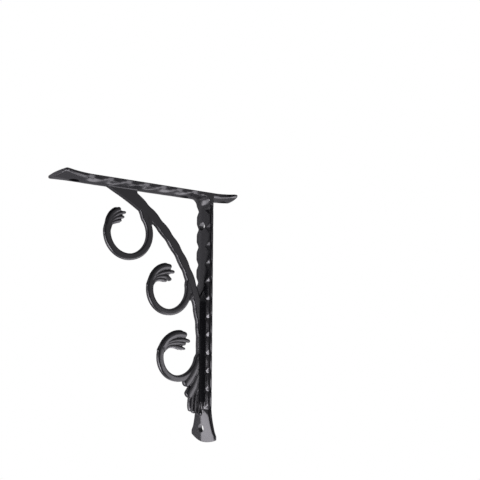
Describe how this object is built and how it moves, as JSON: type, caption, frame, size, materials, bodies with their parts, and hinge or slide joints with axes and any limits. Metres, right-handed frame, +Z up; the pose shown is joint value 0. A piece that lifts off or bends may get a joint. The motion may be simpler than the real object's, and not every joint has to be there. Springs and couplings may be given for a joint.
{
  "type": "shelf bracket",
  "caption": "Black cast shelf bracket: wall plate and shelf arm joined by a curved stem with leaf-ended scrolls, both bars notched along their edges and flared at their ends.",
  "frame": {"origin": "on the wall, where the plane of the shelf's underside meets the plate's flat back, midway across its width", "axes": "+X out from the wall along the shelf arm, +Y along the wall, +Z up the wall"},
  "size_m": [0.1999, 0.0312, 0.1519],
  "materials": {
    "black_coat": "satin black powder coat over cast metal, a little uneven, with soft cast edges"
  },
  "bodies": {
    "root": {"bracket": "black_coat"}
  },
  "joints": []
}
